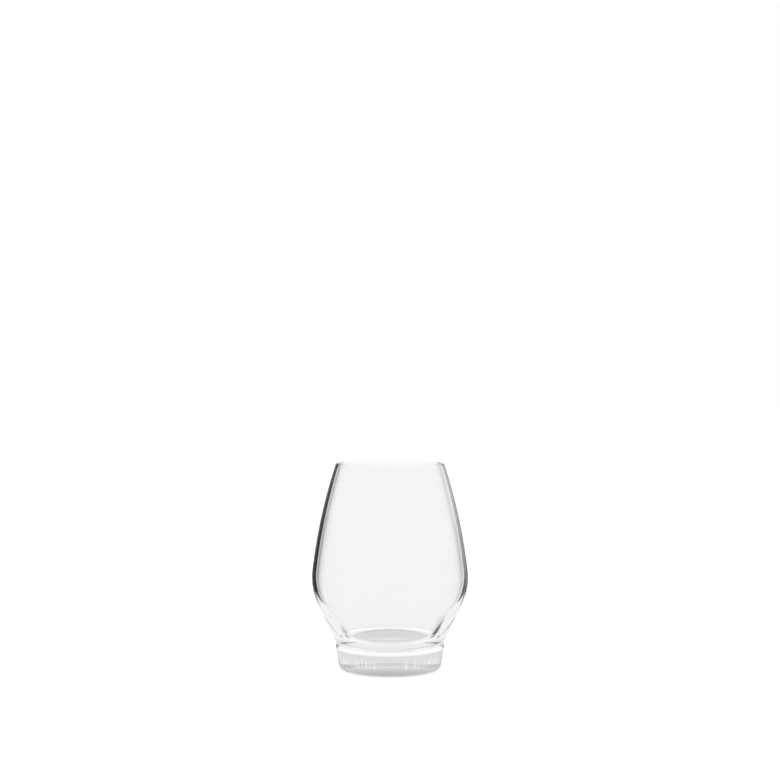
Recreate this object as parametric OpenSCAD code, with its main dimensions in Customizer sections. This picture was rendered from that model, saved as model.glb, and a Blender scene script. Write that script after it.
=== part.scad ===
// Whisky nosing glass: a blown bowl fused to a heavy pressed foot.
// Millimetres, +Z up, origin at the centre of the plane that the foot stands on.
// Both pieces are turned from an outline of tangent arcs, so every curve runs smoothly into the next.

/* [Bowl outside] */
// Height of the whole glass, from the table to the lip
glass_h = 95; // [80:0.5:112]
// Outside diameter at the widest place
belly_d = 72; // [60:0.5:85]
// How far the lip draws in from the widest place, on each side
rim_in = 10.8; // [8.8:0.2:13]
// Height of the widest place above the table
belly_z = 42.3; // [36:0.1:50]
// Radius of the curve round the widest place, as a share of that place's height above the joint
belly_bow = 0.97; // [0.82:0.01:1.12]
// Angle through which that curve climbs above the widest place before the upper wall takes over
belly_rise = 6.6; // [5:0.2:8]
// Radius of the rounded corner between the lower wall and the joint
heel_r = 2.6; // [1.5:0.1:4]

/* [Bowl inside] */
// Thickness of the wall at the lip, which is rounded over its whole width
rim_wall = 2.2; // [1.4:0.1:3]
// Thickness of the wall at the widest place
belly_wall = 2.7; // [1.8:0.1:3.6]
// Thickness of the bowl's floor above the joint
floor_t = 2; // [1.6:0.1:4]
// Distance from the edge of the joint in to the flat part of the floor
floor_in = 9.1; // [7.4:0.1:11]
// Radius of the inside corner between the floor and the lower wall
floor_r = 10; // [8:0.5:12]

/* [Foot] */
// Height of the foot, from the table to the joint
foot_h = 12.4; // [10:0.2:14]
// Diameter of the flat faces at which the bowl and the foot are fused
joint_d = 46.2; // [38:0.2:55]
// Radius of the foot's rounded shoulder, by which it is wider than the joint
shoulder_r = 2; // [1.4:0.1:2.6]
// How far the standing ring's outer edge lies inside the widest part of the foot
stand_in = 3.5; // [2.6:0.1:4.4]
// Radius of the rounded edge between the side and the standing ring
toe_r = 1.9; // [1:0.1:3]
// Width of the standing ring, round the shallow hollow under the foot
ring_w = 3.6; // [2.4:0.1:5]
// Depth of that hollow at its middle
hollow_depth = 0.6; // [0.3:0.1:2]

/* [Hidden] */
$fn = 192;

// Steps along each arc of an outline
arc_steps = 18;

rim_d = belly_d - 2 * rim_in;
belly_r = belly_bow * (belly_z - foot_h);
joint_r = joint_d / 2;
lip_r = rim_wall / 2;
floor_d = joint_d - 2 * floor_in;
floor_z = foot_h + floor_t;
foot_d = joint_d + 2 * shoulder_r;
stand_d = foot_d - 2 * stand_in;
hollow_d = stand_d - 2 * ring_w;

// Centres of the outline's arcs, as [radius, height]
belly_c = [belly_d / 2 - belly_r, belly_z];
lip_c = [rim_d / 2 - lip_r, glass_h - lip_r];
heel_c = [joint_r, foot_h + heel_r];
floor_c = [floor_d / 2, floor_z + floor_r];
shoulder_c = [joint_r, foot_h - shoulder_r];
toe_c = [stand_d / 2, toe_r];

// The hollow under the foot is a cap of a ball
hollow_ball_r = (pow(hollow_d / 2, 2) + pow(hollow_depth, 2)) / (2 * hollow_depth);
hollow_c = [0, hollow_depth - hollow_ball_r];
hollow_angle = asin(hollow_d / 2 / hollow_ball_r);

function direction(angle) = [cos(angle), sin(angle)];

function heading(v) = atan2(v[1], v[0]);

function arc(centre, radius, from, to) =
    [for (i = [0:arc_steps]) centre + radius * direction(from + (to - from) * i / arc_steps)];

// Angle at which a straight wall leaves the upper circle to touch the lower one on the same side
function wall_angle(upper_c, upper_r, lower_c, lower_r) =
    heading(lower_c - upper_c) + acos((upper_r - lower_r) / norm(lower_c - upper_c));

// Radius of the upper wall, which leaves the belly's circle at belly_rise and touches the lip's circle.
// side is lip_r for the outer face, and -lip_r for the inner one.
function upper_wall_r(circle_r, side) =
    let (u = direction(belly_rise), to_lip = lip_c - belly_c)
    (pow(norm(to_lip - circle_r * u), 2) - pow(side, 2)) / (2 * (circle_r - side - to_lip * u));

function upper_wall_c(circle_r, wall_r) = belly_c - (wall_r - circle_r) * direction(belly_rise);

inner_belly_r = belly_r - belly_wall;
outer_wall_r = upper_wall_r(belly_r, lip_r);
inner_wall_r = upper_wall_r(inner_belly_r, -lip_r);
outer_wall_c = upper_wall_c(belly_r, outer_wall_r);
inner_wall_c = upper_wall_c(inner_belly_r, inner_wall_r);
outer_lip_angle = heading(lip_c - outer_wall_c);
inner_lip_angle = heading(lip_c - inner_wall_c);
outer_heel_angle = wall_angle(belly_c, belly_r, heel_c, heel_r);
inner_heel_angle = wall_angle(belly_c, inner_belly_r, floor_c, floor_r);
side_angle = wall_angle(shoulder_c, shoulder_r, toe_c, toe_r);

// Half outline of the bowl: up the outside, over the lip, and down the inside to the floor
function bowl_outline() = concat(
    [[0, foot_h]],
    arc(heel_c, heel_r, -90, outer_heel_angle),
    arc(belly_c, belly_r, outer_heel_angle, belly_rise),
    arc(outer_wall_c, outer_wall_r, belly_rise, outer_lip_angle),
    arc(lip_c, lip_r, outer_lip_angle, 180 + inner_lip_angle),
    arc(inner_wall_c, inner_wall_r, inner_lip_angle, belly_rise),
    arc(belly_c, inner_belly_r, belly_rise, inner_heel_angle),
    arc(floor_c, floor_r, inner_heel_angle, -90),
    [[0, floor_z]]
);

// Half outline of the foot: out along the hollow, round the toe, up the side and in over the shoulder
function foot_outline() = concat(
    arc(hollow_c, hollow_ball_r, 90, 90 - hollow_angle),
    arc(toe_c, toe_r, -90, side_angle),
    arc(shoulder_c, shoulder_r, side_angle, 90),
    [[0, foot_h]]
);

module bowl() {
    color("gainsboro", 0.35)
        rotate_extrude()
            polygon(bowl_outline());
}

module foot() {
    color("lightgray", 0.45)
        rotate_extrude()
            polygon(foot_outline());
}

bowl();
foot();
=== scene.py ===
"""Whisky nosing glass: a clear bowl with a low belly, fused to a heavy foot, on a white studio table."""

import math

import bmesh
import bpy
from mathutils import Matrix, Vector


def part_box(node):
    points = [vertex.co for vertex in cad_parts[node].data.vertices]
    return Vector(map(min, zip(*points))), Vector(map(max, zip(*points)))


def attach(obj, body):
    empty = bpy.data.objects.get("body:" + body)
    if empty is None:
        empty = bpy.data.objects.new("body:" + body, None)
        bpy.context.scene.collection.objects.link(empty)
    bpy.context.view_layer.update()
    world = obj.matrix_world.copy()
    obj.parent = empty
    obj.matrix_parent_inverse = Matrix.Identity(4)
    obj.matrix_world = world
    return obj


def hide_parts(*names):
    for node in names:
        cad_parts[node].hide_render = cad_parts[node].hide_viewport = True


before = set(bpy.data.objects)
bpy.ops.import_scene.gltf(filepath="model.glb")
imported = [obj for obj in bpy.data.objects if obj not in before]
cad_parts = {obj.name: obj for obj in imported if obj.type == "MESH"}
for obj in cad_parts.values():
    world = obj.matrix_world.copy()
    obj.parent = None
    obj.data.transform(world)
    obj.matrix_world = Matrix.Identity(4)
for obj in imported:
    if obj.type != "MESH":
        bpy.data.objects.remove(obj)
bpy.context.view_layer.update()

bl_info = {
    "name": "Whisky Nosing Glass",
    "version": (1, 0, 0),
    "blender": (4, 5, 0),
    "location": "View3D > Sidebar > Nosing Glass",
    "description": "Builds a clear whisky nosing glass and its studio table",
    "category": "Object",
}

BOWL_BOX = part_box("bowl")
FOOT_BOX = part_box("foot")

# Steps of the turned meshes: round the axis, and along each kind of arc
TURN_STEPS = 256
HEEL_STEPS = 16
BELLY_STEPS = 36
WALL_STEPS = 40
LIP_STEPS = 24
FLOOR_STEPS = 28
HOLLOW_STEPS = 32
EDGE_STEPS = 20

# An edge sharper than this angle is shaded as an edge
SHARP = math.radians(12)
# Points closer than this are one point
SAME_POINT = 1e-7
# A face closer to the joint than this lies in it
IN_JOINT = 1e-6
# A face is flat where the upright part of its normal is above this
FLAT = 0.9999


def size(name, text, default):
    """A length that a user may change."""
    return bpy.props.FloatProperty(
        name=name, description=text, default=default, unit="LENGTH", min=0, precision=4)


def angle(name, text, degrees):
    """An angle that a user may change."""
    return bpy.props.FloatProperty(
        name=name, description=text, default=math.radians(degrees), subtype="ANGLE")


def share(name, text, default, top=1.0):
    """A number without a unit that a user may change."""
    return bpy.props.FloatProperty(name=name, description=text, default=default, min=0, max=top)


class BowlSizes(bpy.types.PropertyGroup):
    """Sizes of the bowl."""

    height: size("Height", "From the table to the lip", BOWL_BOX[1][2])
    belly_d: size("Belly diameter", "Outside diameter at the widest place", BOWL_BOX[1][0] - BOWL_BOX[0][0])
    rim_in: size("Lip draw", "How far the lip draws in from the widest place", 0.0108)
    belly_z: size("Belly height", "Height of the widest place above the table", 0.0423)
    belly_bow: share("Belly bow", "Radius at the belly as a share of its height above the joint", 0.97, 2)
    belly_rise: angle("Belly rise", "Angle that the belly's curve climbs above the widest place", 6.6)
    heel_r: size("Heel radius", "Rounded corner between the lower wall and the joint", 0.0026)
    rim_wall: size("Lip wall", "Thickness of the wall at the lip", 0.0022)
    belly_wall: size("Belly wall", "Thickness of the wall at the widest place", 0.0027)
    floor_t: size("Floor thickness", "Glass between the bowl's floor and the joint", 0.002)
    floor_in: size("Floor inset", "From the edge of the joint in to the flat of the floor", 0.0091)
    floor_r: size("Floor corner", "Inside corner between the floor and the lower wall", 0.01)


class FootSizes(bpy.types.PropertyGroup):
    """Sizes of the foot."""

    height: size("Height", "From the table to the joint", FOOT_BOX[1][2])
    joint_d: size("Joint diameter", "Flat faces at which the bowl and the foot are fused", 0.0462)
    shoulder_r: size("Shoulder radius", "Rounded shoulder under the joint", 0.002)
    stand_in: size("Stand inset", "From the widest part of the foot in to the standing ring", 0.0035)
    toe_r: size("Toe radius", "Rounded edge above the standing ring", 0.0019)
    ring_w: size("Ring width", "Width of the ring that the foot stands on", 0.0036)
    hollow_depth: size("Hollow depth", "Depth of the hollow under the foot", 0.0006)


class GlassLook(bpy.types.PropertyGroup):
    """Look of the glass."""

    index: bpy.props.FloatProperty(
        name="Index", description="How strongly the glass bends light", default=1.13, min=1)
    bowl_tint: share("Bowl tint", "Light that passes the bowl's thin wall", 0.957)
    # Painted shade in the bowl's glass: the lower wall's outer face, the thick floor and the neck are greyer
    lower_wall_shade: share("Lower wall tint", "Light that passes the lower wall, by its outer face", 0.895)
    floor_shade: share("Floor tint", "Light that passes the thick glass at the bowl's floor", 0.88)
    neck_shade: share("Neck tint", "Light that passes the bowl's thick edge just above the joint", 0.7)
    # Painted shade: the foot's grey, where light enters it
    foot_shade: share("Foot tint", "Tint of the foot, where light enters it", 0.54)
    # Painted highlights: bright upright streaks round the foot, where its glass is left clear
    glints: share("Press marks", "Number of bright press marks round the foot, as a noise scale", 17, 60)
    glint_strength: share("Press mark depth", "How clear the glass is at the press marks", 0.6)


class StudioLook(bpy.types.PropertyGroup):
    """Light and dark parts of the studio, as reflections in the glass see them."""

    table_glow: share("Table glow", "Light that the table gives off itself", 0.86)
    table_paint: share("Table paint", "How white the table's paint is", 0.2)
    table_shade: share("Table shade", "Level of the table under the glass", 0.7)
    table_rim: share("Table rim", "Level of the bright rim that the glass throws round that shade", 1.12, 2)
    table_edge: angle("Table edge", "Angle below the horizon at which the table begins, straight behind", 7.8)
    panel: angle("Dark panel", "Half width of the dark panel behind the glass, at the horizon", 21)
    dark_left: share("Dark left", "Level of the dark panel's left half", 0.014)
    dark_right: share("Dark right", "Level of the dark panel's right half", 0.3)
    dark_lift: share("Dark lift", "How fast the dark panel gets lighter upwards", 17, 30)
    wall_left: share("Left wall", "Level of the studio's left wall next to the panel", 0.58)
    wall_right: share("Right wall", "Level of the studio's right wall next to the panel", 0.85)
    outer_left: share("Outer left wall", "Level of the left wall further round", 0.25)
    outer_right: share("Outer right wall", "Level of the right wall further round", 0.4)
    wall_lift: share("Wall lift", "How much lighter the walls are above the horizon", 1.4, 3)
    glare: share("Glare", "Share of the left wall that the glass's outer face shows", 0.3)
    front: share("Front wall", "Level of the wall behind the camera", 0.85)
    others: share("Other panels", "Level of the dark panels at both sides and behind the camera", 0.2)
    ceiling: share("Ceiling", "Level of the ceiling at its darkest, far back", 0.68)
    mat_left: share("Mat left", "Level of the dark mat that the glass stands on, at the left", 0.3)
    mat_right: share("Mat right", "Level of the dark mat that the glass stands on, at the right", 0.17)


class Outline:
    """A half outline in the XZ plane, drawn by carrying one vertex along it, and then turned about Z."""

    def __init__(self, start):
        self.bm = bmesh.new()
        self.end = self.bm.verts.new((start[0], 0, start[1]))

    def line(self, point):
        got = bmesh.ops.extrude_vert_indiv(self.bm, verts=[self.end])
        self.end = got["verts"][0]
        self.end.co = (point[0], 0, point[1])

    def arc(self, centre, radius, start, stop, steps):
        """A straight line to the arc's start, unless the outline is there already, and then the arc."""
        first = centre + radius * way(start)
        if (self.end.co.xz - first).length > SAME_POINT:
            self.line(first)
        got = bmesh.ops.spin(
            self.bm, geom=[self.end], cent=(centre.x, 0, centre.y), axis=(0, -1, 0),
            angle=stop - start, steps=steps)
        self.end = next(v for v in got["geom_last"] if isinstance(v, bmesh.types.BMVert))

    def turned(self, name, seam_z, seam_r, materials):
        """The turned solid. Its flat face at the joint gets the second material."""
        bm = self.bm
        bmesh.ops.spin(
            bm, geom=bm.edges[:], cent=(0, 0, 0), axis=(0, 0, 1),
            angle=math.tau, steps=TURN_STEPS, use_merge=True)
        bmesh.ops.remove_doubles(bm, verts=bm.verts[:], dist=SAME_POINT)
        bmesh.ops.recalc_face_normals(bm, faces=bm.faces[:])
        for edge in bm.edges:
            edge.smooth = len(edge.link_faces) == 2 and edge.calc_face_angle() < SHARP
        for face in bm.faces:
            face.smooth = True
            middle = face.calc_center_median()
            flat = abs(face.normal.z) > FLAT and abs(middle.z - seam_z) < IN_JOINT
            if flat and middle.xy.length < seam_r:
                face.material_index = 1
        mesh = bpy.data.meshes.new(name)
        bm.to_mesh(mesh)
        bm.free()
        piece = bpy.data.objects.new(name, mesh)
        for material in materials:
            mesh.materials.append(material)
        bpy.context.scene.collection.objects.link(piece)
        return piece


def way(turn):
    return Vector((math.cos(turn), math.sin(turn)))


def heading(v):
    return math.atan2(v[1], v[0])


def wall_turn(upper_c, upper_r, lower_c, lower_r):
    """Angle at which a straight wall leaves the upper circle to touch the lower one on the same side."""
    apart = lower_c - upper_c
    return heading(apart) + math.acos((upper_r - lower_r) / apart.length)


class Net:
    """Short forms for the nodes of one tree."""

    def __init__(self, tree):
        self.tree = tree

    def new(self, kind, **settings):
        node = self.tree.nodes.new(kind)
        for name, value in settings.items():
            setattr(node, name, value)
        return node

    def put(self, socket, value):
        """Links a socket to the value's own socket, or sets it to a plain value."""
        if isinstance(value, bpy.types.NodeSocket):
            self.tree.links.new(value, socket)
        else:
            socket.default_value = value

    def fill(self, node, values):
        """Puts the values into the node's first sockets."""
        for socket, value in zip(node.inputs, values):
            self.put(socket, value)

    def math(self, operation, *values):
        node = self.new("ShaderNodeMath", operation=operation)
        self.fill(node, values)
        return node.outputs[0]

    def vector(self, operation, *values):
        node = self.new("ShaderNodeVectorMath", operation=operation)
        self.fill(node, values)
        return node.outputs[0]

    def split(self, vector):
        node = self.new("ShaderNodeSeparateXYZ")
        self.put(node.inputs[0], vector)
        return node.outputs

    def ramp(self, value, low, high, start=0.0, stop=1.0, smooth=True):
        """From start, where the value is low, to stop, where it is high."""
        node = self.new("ShaderNodeMapRange", interpolation_type="SMOOTHSTEP" if smooth else "LINEAR")
        names = ("Value", "From Min", "From Max", "To Min", "To Max")
        for name, setting in zip(names, (value, low, high, start, stop)):
            self.put(node.inputs[name], setting)
        return node.outputs[0]

    def mix(self, factor, first, second):
        """The first value where the factor is 0, and the second where it is 1."""
        node = self.new("ShaderNodeMix")
        sockets = (node.inputs[0], node.inputs[2], node.inputs[3])
        for socket, value in zip(sockets, (factor, first, second)):
            self.put(socket, value)
        return node.outputs[0]


def glass(name, index):
    """Clear fire-polished glass. Returns its material, a net for it and the place on the object."""
    material = bpy.data.materials.new(name)
    material.use_nodes = True
    shader = material.node_tree.nodes["Principled BSDF"]
    shader.inputs["Roughness"].default_value = 0
    shader.inputs["IOR"].default_value = index
    shader.inputs["Transmission Weight"].default_value = 1
    net = Net(material.node_tree)
    return material, net, net.split(net.new("ShaderNodeTexCoord").outputs["Object"])


def tint(material, net, level):
    """Gives the glass a grey of that level: its own tint, and the painted shade and painted highlights laid
    on it.
    """
    color = net.new("ShaderNodeCombineColor")
    net.fill(color, (level, level, level))
    net.put(material.node_tree.nodes["Principled BSDF"].inputs["Base Color"], color.outputs[0])


# Where the bowl's painted shade changes, in metres out from the joint's edge or up from the joint
NECK_OUT = (-0.0026, -0.0016)
NECK_UP = (0.0021, 0.0041)
FLOOR_UP = (0.0006, 0.0056)
LOWER_UP = (0.0176, 0.0246)
# A cone between the lower wall's two faces: its place at the joint, out from the edge, and how fast it widens
BETWEEN_OUT = -0.002
BETWEEN_LEAN = 0.55


def bowl_glass(look, foot):
    """The bowl's glass, with painted shade: greyer on the lower wall's outer face, at the thick floor and at
    the neck.
    """
    material, net, (x, y, z) = glass("bowl_glass", look.index)
    away = net.math("SQRT", net.math("MULTIPLY_ADD", x, x, net.math("MULTIPLY", y, y)))
    out = net.math("SUBTRACT", away, foot.joint_d / 2)
    up = net.math("SUBTRACT", z, foot.height)
    outer = net.math("GREATER_THAN", net.math("MULTIPLY_ADD", up, -BETWEEN_LEAN, out), BETWEEN_OUT)
    # Painted shade: the lower wall's outer face and the thick floor are greyer, and so is the neck where
    # light enters it
    lower = net.mix(outer, net.ramp(up, *FLOOR_UP, look.floor_shade, 1.0), look.lower_wall_shade)
    level = net.mix(net.ramp(up, *LOWER_UP), lower, look.bowl_tint)
    neck = net.math("MULTIPLY", net.ramp(out, *NECK_OUT), net.ramp(up, *NECK_UP, 1.0, 0.0))
    entering = net.math("SUBTRACT", 1.0, net.new("ShaderNodeNewGeometry").outputs["Backfacing"])
    tint(material, net, net.mix(net.math("MULTIPLY", neck, entering), level, look.neck_shade))
    return material


# Where the foot's bright streaks begin, painted highlights, in metres above the table and from the middle
GLINT_LOW = (0.003, 0.0045)
GLINT_ASIDE = (0.005, 0.007)
# Least and greatest height at which a streak ends, and the length over which it fades there
GLINT_HIGH = (0.0064, 0.0092)
GLINT_FADE = 0.002
# Where the shoulder gets clear, as a painted highlight, in metres up from the joint
SHOULDER_UP = (-0.0029, -0.0017)
# Levels of the noise that make a streak, and those of a finer noise that set its height
GLINT_NOISE = (0.44, 0.62)
HIGH_NOISE = (0.3, 0.7)
HIGH_NOISE_FINER = 2.3


def foot_glass(look, foot):
    """The foot's glass: grey below as painted shade, clear at the shoulder as a painted highlight, and with
    bright upright streaks at both sides as painted highlights.
    """
    material, net, (x, y, z) = glass("foot_glass", look.index)
    turn = net.math("ARCTAN2", y, x)

    def noise(scale):
        node = net.new("ShaderNodeTexNoise", noise_dimensions="1D")
        net.put(node.inputs["W"], turn)
        net.put(node.inputs["Scale"], scale)
        return node.outputs[0]

    # Painted highlights: bright upright streaks at both sides of the foot, where its glass is left clear
    high = net.ramp(noise(look.glints * HIGH_NOISE_FINER), *HIGH_NOISE, *GLINT_HIGH, False)
    glint = net.ramp(noise(look.glints), *GLINT_NOISE)
    glint = net.math("MULTIPLY", glint, net.ramp(net.math("SUBTRACT", high, z), 0.0, GLINT_FADE))
    glint = net.math("MULTIPLY", glint, net.ramp(z, *GLINT_LOW))
    aside = net.ramp(net.math("ABSOLUTE", x), *GLINT_ASIDE, 0.0, look.glint_strength)
    glint = net.math("MULTIPLY", glint, aside)
    # Painted shade: the foot is grey where light enters it, and its clear shoulder is a painted highlight
    up = net.math("SUBTRACT", z, foot.height)
    level = net.mix(glint, net.ramp(up, *SHOULDER_UP, look.foot_shade, 1.0), 1.0)
    leaving = net.new("ShaderNodeNewGeometry").outputs["Backfacing"]
    tint(material, net, net.mix(leaving, level, 1.0))
    return material


def fused():
    """The faces at the joint, which don't exist in the real glass, so that light passes straight through."""
    material = bpy.data.materials.get("fused_joint")
    if material is None:
        material = bpy.data.materials.new("fused_joint")
        material.use_nodes = True
        material.node_tree.nodes["Principled BSDF"].inputs["Alpha"].default_value = 0
    return material


class NOSING_OT_bowl(bpy.types.Operator):
    """Build the bowl, from the joint up the outside, over the lip and down the inside to the floor"""

    bl_idname = "nosing.bowl"
    bl_label = "Bowl"

    def execute(self, context):
        s = context.scene.nosing_bowl
        foot = context.scene.nosing_foot
        look = context.scene.nosing_glass
        rise = s.belly_rise
        belly_r = s.belly_bow * (s.belly_z - foot.height)
        inner_r = belly_r - s.belly_wall
        lip_r = s.rim_wall / 2
        belly_c = Vector((s.belly_d / 2 - belly_r, s.belly_z))
        lip_c = Vector((s.belly_d / 2 - s.rim_in - lip_r, s.height - lip_r))
        heel_c = Vector((foot.joint_d / 2, foot.height + s.heel_r))
        floor_c = Vector((foot.joint_d / 2 - s.floor_in, foot.height + s.floor_t + s.floor_r))

        def upper_wall(circle_r, side):
            """Radius and centre of the wall that leaves the belly's circle and touches the lip's."""
            to_lip = lip_c - belly_c
            wide = (to_lip - circle_r * way(rise)).length_squared - side * side
            radius = wide / (2 * (circle_r - side - to_lip.dot(way(rise))))
            return radius, belly_c - (radius - circle_r) * way(rise)

        outer_r, outer_c = upper_wall(belly_r, lip_r)
        inside_r, inside_c = upper_wall(inner_r, -lip_r)
        outer_lip = heading(lip_c - outer_c)
        inner_lip = heading(lip_c - inside_c)
        outer_heel = wall_turn(belly_c, belly_r, heel_c, s.heel_r)
        inner_heel = wall_turn(belly_c, inner_r, floor_c, s.floor_r)
        down = -math.pi / 2

        outline = Outline((0, foot.height))
        outline.arc(heel_c, s.heel_r, down, outer_heel, HEEL_STEPS)
        outline.arc(belly_c, belly_r, outer_heel, rise, BELLY_STEPS)
        outline.arc(outer_c, outer_r, rise, outer_lip, WALL_STEPS)
        outline.arc(lip_c, lip_r, outer_lip, math.pi + inner_lip, LIP_STEPS)
        outline.arc(inside_c, inside_r, inner_lip, rise, WALL_STEPS)
        outline.arc(belly_c, inner_r, rise, inner_heel, BELLY_STEPS)
        outline.arc(floor_c, s.floor_r, inner_heel, down, FLOOR_STEPS)
        outline.line((0, foot.height + s.floor_t))
        materials = (bowl_glass(look, foot), fused())
        piece = outline.turned("glass_bowl", foot.height, foot.joint_d / 2, materials)
        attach(piece, "root")
        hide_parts("bowl")
        return {"FINISHED"}


class NOSING_OT_foot(bpy.types.Operator):
    """Build the foot, out along its hollow, round the toe, up the side and in over the shoulder"""

    bl_idname = "nosing.foot"
    bl_label = "Foot"

    def execute(self, context):
        s = context.scene.nosing_foot
        look = context.scene.nosing_glass
        shoulder_c = Vector((s.joint_d / 2, s.height - s.shoulder_r))
        stand_r = s.joint_d / 2 + s.shoulder_r - s.stand_in
        toe_c = Vector((stand_r, s.toe_r))
        hollow_r = stand_r - s.ring_w
        ball_r = (hollow_r ** 2 + s.hollow_depth ** 2) / (2 * s.hollow_depth)
        ball_c = Vector((0, s.hollow_depth - ball_r))
        side = wall_turn(shoulder_c, s.shoulder_r, toe_c, s.toe_r)
        up = math.pi / 2

        outline = Outline((0, s.hollow_depth))
        outline.arc(ball_c, ball_r, up, up - math.asin(hollow_r / ball_r), HOLLOW_STEPS)
        outline.arc(toe_c, s.toe_r, -up, side, EDGE_STEPS)
        outline.arc(shoulder_c, s.shoulder_r, side, up, EDGE_STEPS)
        outline.line((0, s.height))
        materials = (foot_glass(look, s), fused())
        piece = outline.turned("glass_foot", s.height, s.joint_d / 2, materials)
        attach(piece, "root")
        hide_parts("foot")
        return {"FINISHED"}


# Light whose depth is above these was bent or reflected at least once, twice or three times
ONCE = 0.5
TWICE = 1.5
THRICE = 2.5

# Half widths of the strips, in the direction's part to the right, where left and right levels blend
DARK_BLEND = 0.08
NEAR_BLEND = 0.4
OUTER_BLEND = 0.2
SIDE_BLEND = 0.1

# How far below the horizon the dark panel has its stated levels, and its lightest level
DARK_BELOW = 0.052
DARK_LIGHTEST = 0.75
# How fast the dark panel narrows upwards, and the softness of its edge
PANEL_LEAN = 1.45
PANEL_SOFT = 0.044

# Radians past the panel's edge where a grey line on the near walls starts and stops, and where they end
LINE_START = (0.12, 0.15)
LINE_STOP = (0.2, 0.23)
NEAR_STOP = (0.2, 0.3)
# Level of that line, as a share of the wall's
LINE_LEVEL = 0.6
# Heights between which the walls get lighter
WALL_RISE = (-0.015, 0.02)

# Angles from straight behind the glass, each with its softness, in degrees
OUTER_STOP = (58, 6)
MAT_START = (56, 6)
MAT_STOP = (90, 8)
FRONT_START = (90, 20)

# Angles above the horizon, each with its softness, in degrees
WALL_TOP = (4.5, 1.5)
CEILING_WHITE = (20, 2)
MAT_FAR = (-38, 4)
MAT_NEAR = (-50, 3)
OTHERS_TOP = (5, 1.5)
OTHERS_FOOT = (-12, 1)

# How much the mat's far edge slants, and how much the walls' top rises up to an angle from straight behind
MAT_SLANT = 0.046
TOP_RISE = 0.25
TOP_RISE_STOP = 0.45
# Heights between which the ceiling gets darker
CEILING_DARKER = (0.12, 0.285)
# Radians from the middle of the other dark panels between which they end
OTHERS_STOP = (0.3, 0.4)

# Softness of the table's edge, in degrees
TABLE_SOFT = 0.2
# Falls of the table's edge: two angles from straight behind, in radians, and how far it has fallen at each
FIRST_FALL = (0.1, 0.25, 0.0, 0.028)
SECOND_FALL = (0.4, 1.3, 0.0, 0.302)
# Fall for each radian of the edge that the glass's outer face shows
OUTER_FALL = 0.065


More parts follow.
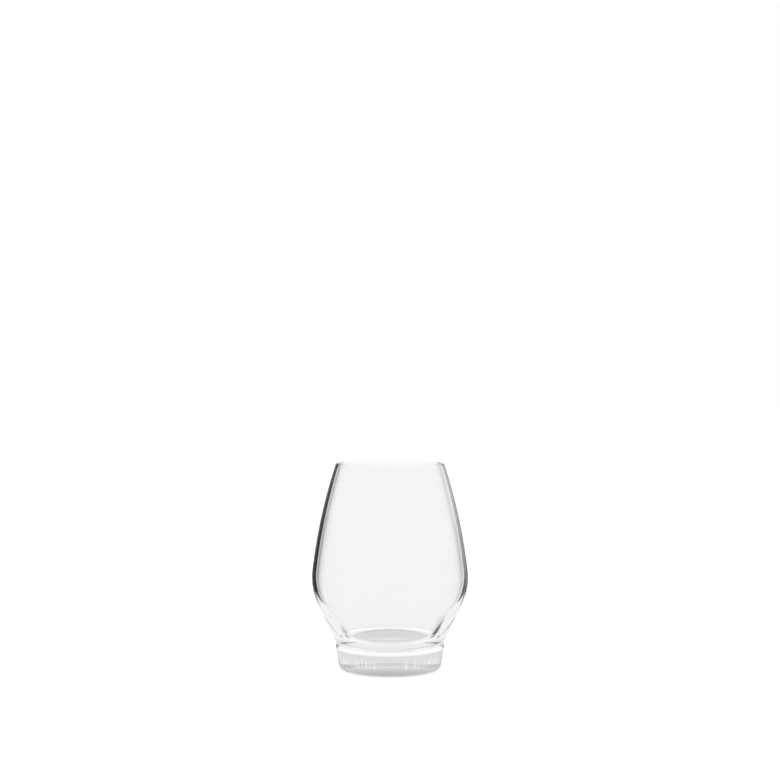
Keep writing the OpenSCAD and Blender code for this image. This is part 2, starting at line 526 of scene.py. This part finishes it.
class Studio:
    """The studio that reflections in the glass see, as a level of light for every direction.

    x and z are the direction's parts to the right and upwards, and turn is its angle from straight behind.
    """

    def __init__(self, net, path, direction, look):
        self.net = net
        self.look = look
        self.x, y, self.z = net.split(net.vector("NORMALIZE", direction))
        self.turn = net.math("ABSOLUTE", net.math("ARCTAN2", self.x, y))
        self.inside = net.math("GREATER_THAN", path.outputs["Transmission Depth"], ONCE)
        self.again = net.math("GREATER_THAN", path.outputs["Glossy Depth"], TWICE)

    def round_to(self, degrees, soft):
        """1 up to that angle from straight behind, and 0 beyond."""
        low = math.radians(degrees - soft)
        high = math.radians(degrees + soft)
        return self.net.ramp(self.turn, low, high, 1.0, 0.0)

    def up_to(self, degrees, soft, height=None):
        """1 up to that angle above the horizon, and 0 above it."""
        low = math.sin(math.radians(degrees - soft))
        high = math.sin(math.radians(degrees + soft))
        return self.net.ramp(self.z if height is None else height, low, high, 1.0, 0.0)

    def across(self, half, left, right, smooth=False):
        """One level at the left and another at the right."""
        return self.net.ramp(self.x, -half, half, left, right, smooth)

    def dark_panel(self):
        """The panel behind the glass, darker at the left and lighter upwards."""
        net = self.net
        level = self.across(DARK_BLEND, self.look.dark_left, self.look.dark_right)
        above = net.math("ADD", self.z, DARK_BELOW)
        lift = net.math("POWER", math.e, net.math("MULTIPLY", above, self.look.dark_lift))
        return net.math("MINIMUM", net.math("MULTIPLY", level, lift), DARK_LIGHTEST)

    def walls(self):
        """The dark panel, the near walls, and outer walls that are white for light reflected again."""
        net, look = self.net, self.look
        past = net.math("SUBTRACT", self.turn, net.math("MULTIPLY_ADD", self.z, -PANEL_LEAN, look.panel))
        line = net.math("MULTIPLY", net.ramp(past, *LINE_START), net.ramp(past, *LINE_STOP, 1.0, 0.0))
        near = self.across(NEAR_BLEND, look.wall_left, look.wall_right)
        near = net.math("MULTIPLY", near, net.mix(line, 1.0, LINE_LEVEL))
        outer = self.across(OUTER_BLEND, look.outer_left, look.outer_right)
        outer = net.mix(self.round_to(*OUTER_STOP), look.front, outer)
        outer = net.mix(self.again, outer, 1.0)
        wall = net.mix(net.ramp(past, *NEAR_STOP), near, outer)
        wall = net.math("MULTIPLY", wall, net.ramp(self.z, *WALL_RISE, 1.0, look.wall_lift))
        wall = net.math("MINIMUM", wall, 1.0)
        wall = net.mix(net.ramp(past, -PANEL_SOFT, PANEL_SOFT), self.dark_panel(), wall)
        glare = self.across(SIDE_BLEND, look.glare, 1.0, True)
        return net.math("MULTIPLY", wall, net.mix(self.inside, glare, 1.0))

    def table(self):
        """The white table, with the parts of a dark mat at both sides of the glass."""
        net, look = self.net, self.look
        slant = net.math("MULTIPLY_ADD", self.x, -MAT_SLANT, self.z)
        deep = net.math("SUBTRACT", self.up_to(*MAT_FAR, slant), self.up_to(*MAT_NEAR))
        wide = net.math("SUBTRACT", self.round_to(*MAT_STOP), self.round_to(*MAT_START))
        level = self.across(SIDE_BLEND, look.mat_left, look.mat_right, True)
        return net.mix(net.math("MULTIPLY", wide, deep), 1.0, level)

    def below_edge(self):
        """1 below the table's far edge, which falls the further round it runs, and 0 above it."""
        net, turn = self.net, self.turn
        fall = net.math("ADD", net.ramp(turn, *FIRST_FALL, False), net.ramp(turn, *SECOND_FALL, False))
        fall = net.mix(self.inside, net.math("MULTIPLY", turn, OUTER_FALL), fall)
        return self.up_to(-math.degrees(self.look.table_edge), TABLE_SOFT, net.math("ADD", self.z, fall))

    def below_ceiling(self):
        """1 below the walls' top, which rises on both sides of the panel, and 0 above it."""
        rise = self.net.math("MINIMUM", self.turn, TOP_RISE_STOP)
        return self.up_to(*WALL_TOP, self.net.math("MULTIPLY_ADD", rise, -TOP_RISE, self.z))

    def ceiling(self):
        """The ceiling, darkest far back and white overhead."""
        back = self.net.ramp(self.z, *CEILING_DARKER, 1.0, self.look.ceiling, False)
        return self.net.mix(self.up_to(*CEILING_WHITE), 1.0, back)

    def other_panels(self):
        """1 on the dark panels at both sides and behind the camera, and 0 elsewhere."""
        net = self.net
        side = net.math("ABSOLUTE", net.math("SUBTRACT", self.turn, math.pi / 2))
        front = net.math("SUBTRACT", math.pi, self.turn)
        wide = net.ramp(net.math("MINIMUM", side, front), *OTHERS_STOP, 1.0, 0.0)
        high = net.math("SUBTRACT", self.up_to(*OTHERS_TOP), self.up_to(*OTHERS_FOOT))
        return net.math("MULTIPLY", wide, high)

    def level(self):
        """Level of light in the direction."""
        net, look = self.net, self.look
        seen = net.mix(self.below_edge(), self.walls(), self.table())
        seen = net.mix(self.below_ceiling(), self.ceiling(), seen)
        seen = net.mix(self.round_to(*FRONT_START), look.front, seen)
        return net.mix(self.other_panels(), seen, look.others)


# Half the table's width, and the height of the point that reflections are taken to start from, in metres
TABLE_HALF = 8
REFLECTED_FROM = 0.032

# Radius and softness of the shade under the glass, in metres: for light through one or two faces of glass,
# as through the foot, and for light through more, as through the bowl's wall and floor
SHADE_R = (0.025, 0.041)
SHADE_SOFT = (0.01, 0.005)
# How much narrower from side to side the second of these shades is
SHADE_NARROWER = 1.55
# Where the bright rim round the shade fades
RIM_FADE = (0.012, 0.026)
# Slopes of the two shades from front to back: two places, in metres, and the factor at each
FEW_SLOPE = (-0.022, 0.022, 0.9, 1.1)
MORE_SLOPE = (0.0, 0.04, 1.12, 1.0)

# Camera: sizes in millimetres, and its place in metres
SENSOR_WIDTH = 36
LENS = 67.15
CAMERA_PLACE = (0, -0.673, 0.1287)

# Steps that a light path may take
BOUNCES = 32
GLOSSY_BOUNCES = 16


class NOSING_OT_stage(bpy.types.Operator):
    """Build the table, the studio round it and the camera"""

    bl_idname = "nosing.stage"
    bl_label = "Stage"

    def execute(self, context):
        scene = context.scene
        s = scene.nosing_studio
        self.table(scene, s)
        self.surround(scene, s)
        self.camera(scene)
        scene.view_settings.view_transform = "Standard"
        scene.cycles.max_bounces = BOUNCES
        scene.cycles.transmission_bounces = BOUNCES
        scene.cycles.glossy_bounces = GLOSSY_BOUNCES
        scene.cycles.transparent_max_bounces = BOUNCES
        return {"FINISHED"}

    def table(self, scene, s):
        """A white table. Reflections see the studio in its place."""
        bm = bmesh.new()
        bmesh.ops.create_grid(bm, x_segments=1, y_segments=1, size=TABLE_HALF)
        mesh = bpy.data.meshes.new("table")
        bm.to_mesh(mesh)
        bm.free()
        table = bpy.data.objects.new("table", mesh)
        scene.collection.objects.link(table)
        material = bpy.data.materials.new("white_table")
        material.use_nodes = True
        material.node_tree.nodes.clear()
        mesh.materials.append(material)
        net = Net(material.node_tree)
        place = net.new("ShaderNodeTexCoord").outputs["Object"]
        path = net.new("ShaderNodeLightPath")
        direct = path.outputs["Is Camera Ray"]
        straight = net.mix(direct, self.shade(net, path, place, s), s.table_glow)
        seen = Studio(net, path, net.vector("SUBTRACT", place, (0, 0, REFLECTED_FROM)), s).level()
        reflected = net.math("GREATER_THAN", path.outputs["Glossy Depth"], ONCE)
        glow = net.new("ShaderNodeEmission")
        net.put(glow.inputs["Color"], net.mix(reflected, straight, seen))
        paint = net.new("ShaderNodeBsdfDiffuse")
        net.put(paint.inputs["Color"], net.math("MULTIPLY", direct, s.table_paint))
        both = net.new("ShaderNodeAddShader")
        net.fill(both, (glow.outputs[0], paint.outputs[0]))
        net.put(net.new("ShaderNodeOutputMaterial").inputs[0], both.outputs[0])

    def shade(self, net, path, place, s):
        """Level of the table for light that came through the glass: darker under it, with a bright rim."""
        more = net.math("GREATER_THAN", path.outputs["Transmission Depth"], THRICE)
        stretch = net.new("ShaderNodeCombineXYZ")
        net.fill(stretch, (net.mix(more, 1.0, SHADE_NARROWER), 1.0, 1.0))
        away = net.new("ShaderNodeVectorMath", operation="LENGTH")
        net.put(away.inputs[0], net.vector("MULTIPLY", place, stretch.outputs[0]))
        beyond = net.math("SUBTRACT", away.outputs["Value"], net.mix(more, *SHADE_R))
        rim = net.math("MULTIPLY", more, net.ramp(beyond, *RIM_FADE, s.table_rim, 1.0))
        y = net.split(place)[1]
        slope = net.mix(more, net.ramp(y, *FEW_SLOPE, False), net.ramp(y, *MORE_SLOPE, False))
        level = net.math("MULTIPLY", slope, s.table_shade)
        soft = net.mix(more, *SHADE_SOFT)
        return net.ramp(beyond, net.math("MULTIPLY", soft, -1.0), soft, level, net.math("MAXIMUM", rim, 1.0))

    def surround(self, scene, s):
        """A white surround. Reflections see the studio in its place."""
        world = bpy.data.worlds.new("white_studio")
        scene.world = world
        world.use_nodes = True
        world.node_tree.nodes.clear()
        net = Net(world.node_tree)
        path = net.new("ShaderNodeLightPath")
        reflected = net.math("GREATER_THAN", path.outputs["Glossy Depth"], ONCE)
        seen = Studio(net, path, net.new("ShaderNodeTexCoord").outputs["Generated"], s).level()
        level = net.mix(reflected, 1.0, seen)
        level = net.mix(path.outputs["Is Camera Ray"], level, 1.0)
        level = net.mix(path.outputs["Is Diffuse Ray"], level, 1.0)
        back = net.new("ShaderNodeBackground")
        net.put(back.inputs["Color"], level)
        net.put(net.new("ShaderNodeOutputWorld").inputs[0], back.outputs[0])

    def camera(self, scene):
        """A level camera in front of the glass."""
        data = bpy.data.cameras.new("camera")
        data.sensor_width = SENSOR_WIDTH
        data.lens = LENS
        camera = bpy.data.objects.new("camera", data)
        camera.location = CAMERA_PLACE
        camera.rotation_euler = (math.pi / 2, 0, 0)
        scene.collection.objects.link(camera)
        scene.camera = camera


class NOSING_PT_panel(bpy.types.Panel):
    """Lists the steps and the sizes"""

    bl_idname = "NOSING_PT_panel"
    bl_label = "Nosing Glass"
    bl_space_type = "VIEW_3D"
    bl_region_type = "UI"
    bl_category = "Nosing Glass"

    def draw(self, context):
        for step, groups in STEPS:
            box = self.layout.box()
            box.operator(step.bl_idname)
            for group in groups:
                for name in GROUPS[group].__annotations__:
                    box.prop(getattr(context.scene, group), name)


GROUPS = {
    "nosing_bowl": BowlSizes,
    "nosing_foot": FootSizes,
    "nosing_glass": GlassLook,
    "nosing_studio": StudioLook,
}
STEPS = (
    (NOSING_OT_bowl, ("nosing_bowl", "nosing_glass")),
    (NOSING_OT_foot, ("nosing_foot",)),
    (NOSING_OT_stage, ("nosing_studio",)),
)
CLASSES = (*GROUPS.values(), NOSING_OT_bowl, NOSING_OT_foot, NOSING_OT_stage, NOSING_PT_panel)


def register():
    for cls in CLASSES:
        bpy.utils.register_class(cls)
    for name, cls in GROUPS.items():
        setattr(bpy.types.Scene, name, bpy.props.PointerProperty(type=cls))


def unregister():
    for name in GROUPS:
        delattr(bpy.types.Scene, name)
    for cls in reversed(CLASSES):
        bpy.utils.unregister_class(cls)


def main():
    register()
    bpy.ops.nosing.bowl()
    bpy.ops.nosing.foot()
    bpy.ops.nosing.stage()


if __name__ == "__main__":
    main()
